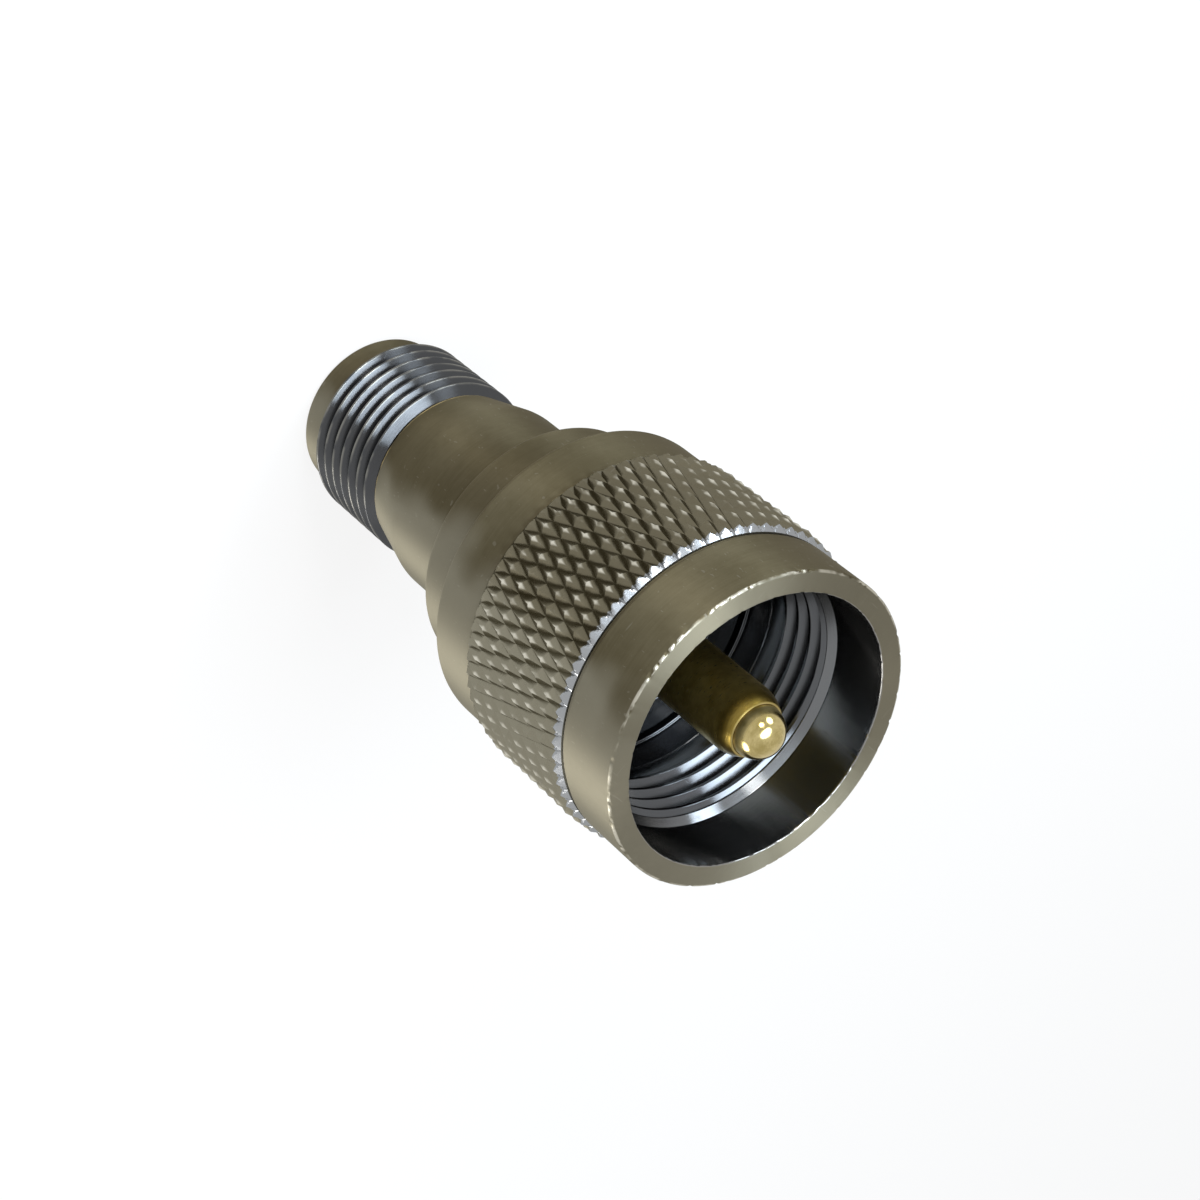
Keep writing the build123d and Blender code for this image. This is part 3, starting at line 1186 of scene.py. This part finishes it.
# %% Socket contact
FINGERS = 4
SOCKET_R = 1.05
SOCKET_BORE_R = 0.675
SOCKET_MOUTH_R = SOCKET_R - 0.04
MOUTH_BORE_R = SOCKET_BORE_R - 0.03
SOCKET_BORE_END = socket_low.z + 5.2
SLOT_END = socket_low.z + 4.2
SLOT_WIDTH = 0.2
slot_half = math.asin(SLOT_WIDTH / 2 / SOCKET_R)

contact = bmesh.new()
spin(contact, [
    (SOCKET_BORE_R, SLOT_END, 0),
    (SOCKET_R, SLOT_END, 0),
    (SOCKET_R, PIN_COLLAR_START, 0),
    (SPIGOT_R, PIN_COLLAR_START, 0),
    (SPIGOT_R, pin_low.z, 0),
    (0, pin_low.z, 0),
    (0, SOCKET_BORE_END, 0),
    (SOCKET_BORE_R, SOCKET_BORE_END, 0),
], steps=96)
for finger in range(FINGERS):
    start = math.radians(45 + 360 / FINGERS * finger) + slot_half
    spin(contact, [
        (MOUTH_BORE_R, socket_low.z, 0.08),
        (SOCKET_MOUTH_R, socket_low.z, 0.1),
        (SOCKET_R, SLOT_END, 0),
        (SOCKET_BORE_R, SLOT_END, 0),
    ], steps=20, sector=(start, start + 2 * math.pi / FINGERS - 2 * slot_half))
shade(contact)
piece("jack_socket", contact, gold_plate, "body", "socket_contact", "gold_plate")

# %% [markdown]
# ## Floor, background and light
# The photo shows the adapter on plain white. The floor is a disc that keeps the
# adapter's shadow. Its paint is grey, and a glow lifts it to white where it is seen
# directly, in a mirror or through glass. The glow lights nothing else.

# %% Floor
FLOOR_MM = 260.0
FLOOR_GREY = (0.15, 0.15, 0.15, 1.0)
FLOOR_GLOW = 0.85

floor_mesh = bmesh.new()
bmesh.ops.create_circle(floor_mesh, cap_ends=True, segments=96, radius=FLOOR_MM * MM)
floor_data = bpy.data.meshes.new("floor")
floor_mesh.to_mesh(floor_data)
floor_mesh.free()
floor = bpy.data.objects.new("floor", floor_data)
bpy.context.scene.collection.objects.link(floor)
print("floor:", FLOOR_MM, "mm in radius")

# %% Floor paint
def seen_white(tree):
    """1 for camera, glossy and transmission rays, 0 for all others."""
    path = tree.tree.nodes.new("ShaderNodeLightPath")
    camera_ray, glossy_ray, through_ray = [
        Link(tree, path.outputs[kind])
        for kind in ("Is Camera Ray", "Is Glossy Ray", "Is Transmission Ray")
    ]
    return (camera_ray + glossy_ray + through_ray).least(1.0)


pale = bpy.data.materials.new("pale_floor")
pale.use_nodes = True
paint = Tree(pale.node_tree)
matt = paint.node("ShaderNodeBsdfDiffuse", None, {"Color": FLOOR_GREY})
glow = paint.node("ShaderNodeEmission", None, {"Strength": seen_white(paint) * FLOOR_GLOW})
both = paint.node("ShaderNodeAddShader", None, {0: matt, 1: glow})
surface = paint.tree.nodes.new("ShaderNodeOutputMaterial")
paint.tree.links.new(both.socket, surface.inputs["Surface"])
floor_data.materials.append(pale)
print("floor paint:", len(paint.tree.nodes), "nodes")

# %% [markdown]
# The background is the world itself. For the same kinds of rays it is white, and for
# everything else it is dimmer, which leaves the level of the light to the lamps.

# %% World
SOFT_LIGHT = 0.25

world = bpy.data.worlds.new("studio")
world.use_nodes = True
bpy.context.scene.world = world
sky = Tree(world.node_tree)
strength = seen_white(sky) * (1 - SOFT_LIGHT) + SOFT_LIGHT
background = sky.node("ShaderNodeBackground", None, {"Color": (1.0, 1.0, 1.0, 1.0), "Strength": strength})
sky_out = sky.tree.nodes.new("ShaderNodeOutputWorld")
sky.tree.links.new(background.socket, sky_out.inputs["Surface"])
print("world: white where it is seen, and", SOFT_LIGHT, "as a light")

# %% [markdown]
# Four soft lamps draw the bright streaks on the metal. Each one is placed by its
# direction from the adapter as the camera sees it: right, up and towards the camera.
# The streaks give that direction, because a streak shows where the metal mirrors its
# lamp. A lamp's watts follow from the brightness that its face should have and from
# its area.

# %% A soft lamp
MIDDLE_MM = Vector((0.0, 0.0, 22.0))
LAMP_AWAY_MM = 150.0


def soft_lamp(name, direction_seen, along_seen, size_mm, brightness, color):
    """A lamp with an oval face that is so many times as bright as white paper."""
    data = bpy.data.lights.new(name, "AREA")
    data.shape = "ELLIPSE"
    data.size, data.size_y = size_mm[0] * MM, size_mm[1] * MM
    face = math.pi / 4 * data.size * data.size_y
    data.energy = brightness * math.pi * face
    data.color = color
    lamp = bpy.data.objects.new(name, data)
    bpy.context.scene.collection.objects.link(lamp)
    turn = camera.matrix_world.to_3x3()
    outward = (turn @ Vector(direction_seen)).normalized()
    across = outward.cross(turn @ Vector(along_seen)).normalized()
    place = (MIDDLE_MM + outward * LAMP_AWAY_MM) * MM
    lamp.matrix_world = Matrix((across.cross(outward), across, outward)).transposed().to_4x4()
    lamp.matrix_world.translation = place
    lamp.visible_camera = False
    print(f"{name}: {data.energy:.3f} W at", [round(value / MM) for value in place], "mm")


print("lamps stand", LAMP_AWAY_MM, "mm from the adapter's middle")

# %% Four lamps
FLASH_WHITE = (1.0, 0.99, 0.96)
SKY_BLUE = (0.78, 0.89, 1.0)
WARM_WHITE = (1.0, 0.98, 0.95)

soft_lamp("flash", (0.27, 0.34, 0.90), (1, 0, 0), (42.0, 42.0), 13.5, FLASH_WHITE)
soft_lamp("window", (0.52, -0.17, 0.83), (0.47, 0.45, -0.2), (120.0, 66.0), 14.0, SKY_BLUE)
soft_lamp("side", (0.70, 0.52, 0.49), (0, 0, 1), (60.0, 60.0), 10.2, SKY_BLUE)
soft_lamp("left", (-0.54, -0.84, 0.11), (0.56, -0.47, 0.69), (60.0, 90.0), 8.9, WARM_WHITE)
bpy.context.scene.view_settings.view_transform = "Standard"
